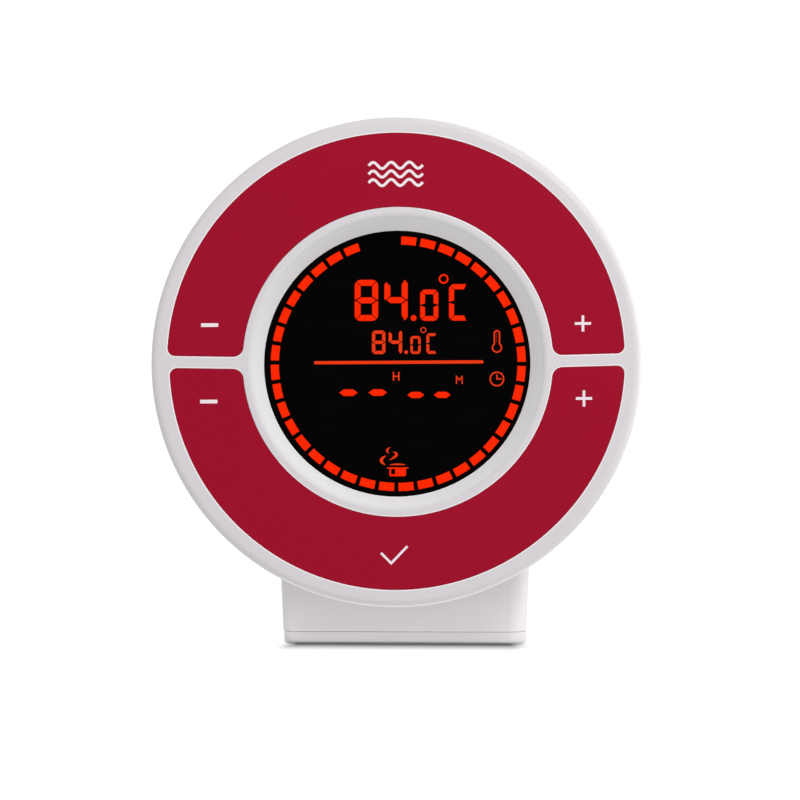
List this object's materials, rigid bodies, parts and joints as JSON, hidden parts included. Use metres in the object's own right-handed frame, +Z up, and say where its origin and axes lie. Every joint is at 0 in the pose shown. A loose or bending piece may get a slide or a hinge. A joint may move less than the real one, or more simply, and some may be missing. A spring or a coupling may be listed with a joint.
{
  "type": "sous vide circulator",
  "caption": "Pot-rim sous vide circulator: round touch-control head with a lit display, sprung rim clip, and a rectangular immersion leg with heater coil and pump.",
  "frame": {"origin": "on the table, below the middle of the object's box", "axes": "+Z up, the round face looks along -Y, +X to the viewer's right"},
  "size_m": [0.13, 0.094, 0.142],
  "materials": {
    "white_shell": "satin moulded plastic, warm white",
    "crimson_panel": "satin crimson plastic",
    "display_glass": "glossy black",
    "display_light": "lit red segments",
    "circuit_board": "green solder mask",
    "black_plastic": "fine matt texture",
    "grey_plastic": "fine matt texture",
    "steel": "brushed",
    "rubber": "matt silicone rubber",
    "aluminium": "satin",
    "copper_winding": "enamelled copper wire",
    "brass_pin": "plated"
  },
  "bodies": {
    "casing": {"front_bezel": "white_shell", "head_rear_cover": "white_shell", "neck_bridge": "white_shell", "leg_housing": "white_shell", "bottom_cover": "white_shell", "top_cover": "white_shell", "upper_touch_panel": "crimson_panel", "lower_touch_panel": "crimson_panel", "display_glass": "display_glass", "light_guide_ring": "display_light", "touch_sensor_board": "circuit_board", "control_board": "circuit_board", "power_board": "circuit_board", "display_module": "black_plastic", "buzzer": "black_plastic", "head_cable": "black_plastic", "pump_volute": "black_plastic", "relay": "black_plastic", "mains_inlet": "black_plastic", "outlet_nozzle": "grey_plastic", "partition_plate": "grey_plastic", "head_screw_1": "steel", "head_screw_2": "steel", "head_screw_3": "steel", "head_screw_4": "steel", "clip_pin": "steel", "clip_spring_left": "steel", "clip_spring_right": "steel", "heater_coil": "steel", "temperature_probe": "steel", "low_level_sensor": "steel", "high_level_sensor": "steel", "motor_bracket": "steel", "lower_bearing": "steel", "upper_bearing": "steel", "cover_screw_left": "steel", "cover_screw_right": "steel", "grip_pad_left": "rubber", "grip_pad_right": "rubber", "partition_seal": "rubber", "shaft_seal": "rubber", "motor_can": "aluminium", "motor_end_cap": "aluminium", "capacitor": "aluminium", "triac_heatsink": "aluminium", "motor_stator": "copper_winding", "transformer": "copper_winding", "inlet_pin_left": "brass_pin", "inlet_pin_right": "brass_pin"},
    "pump_rotor": {"motor_shaft": "steel", "motor_rotor": "steel", "impeller": "grey_plastic", "cooling_fan": "black_plastic"},
    "clip": {"clip_lever": "grey_plastic", "clip_pad": "rubber"}
  },
  "joints": [
    {"name": "impeller_spin", "type": "hinge", "parent": "casing", "child": "pump_rotor", "pos_m": [0, 0.019, 0.06], "axis": [0, 0, 1], "continuous": true},
    {"name": "clip_pivot", "type": "hinge", "parent": "casing", "child": "clip", "pos_m": [0, -0.0165, 0.118], "axis": [-1, 0, 0], "range_deg": [0, 10], "stiffness_Nm_per_rad": 0.6, "springref_deg": -5.73}
  ]
}
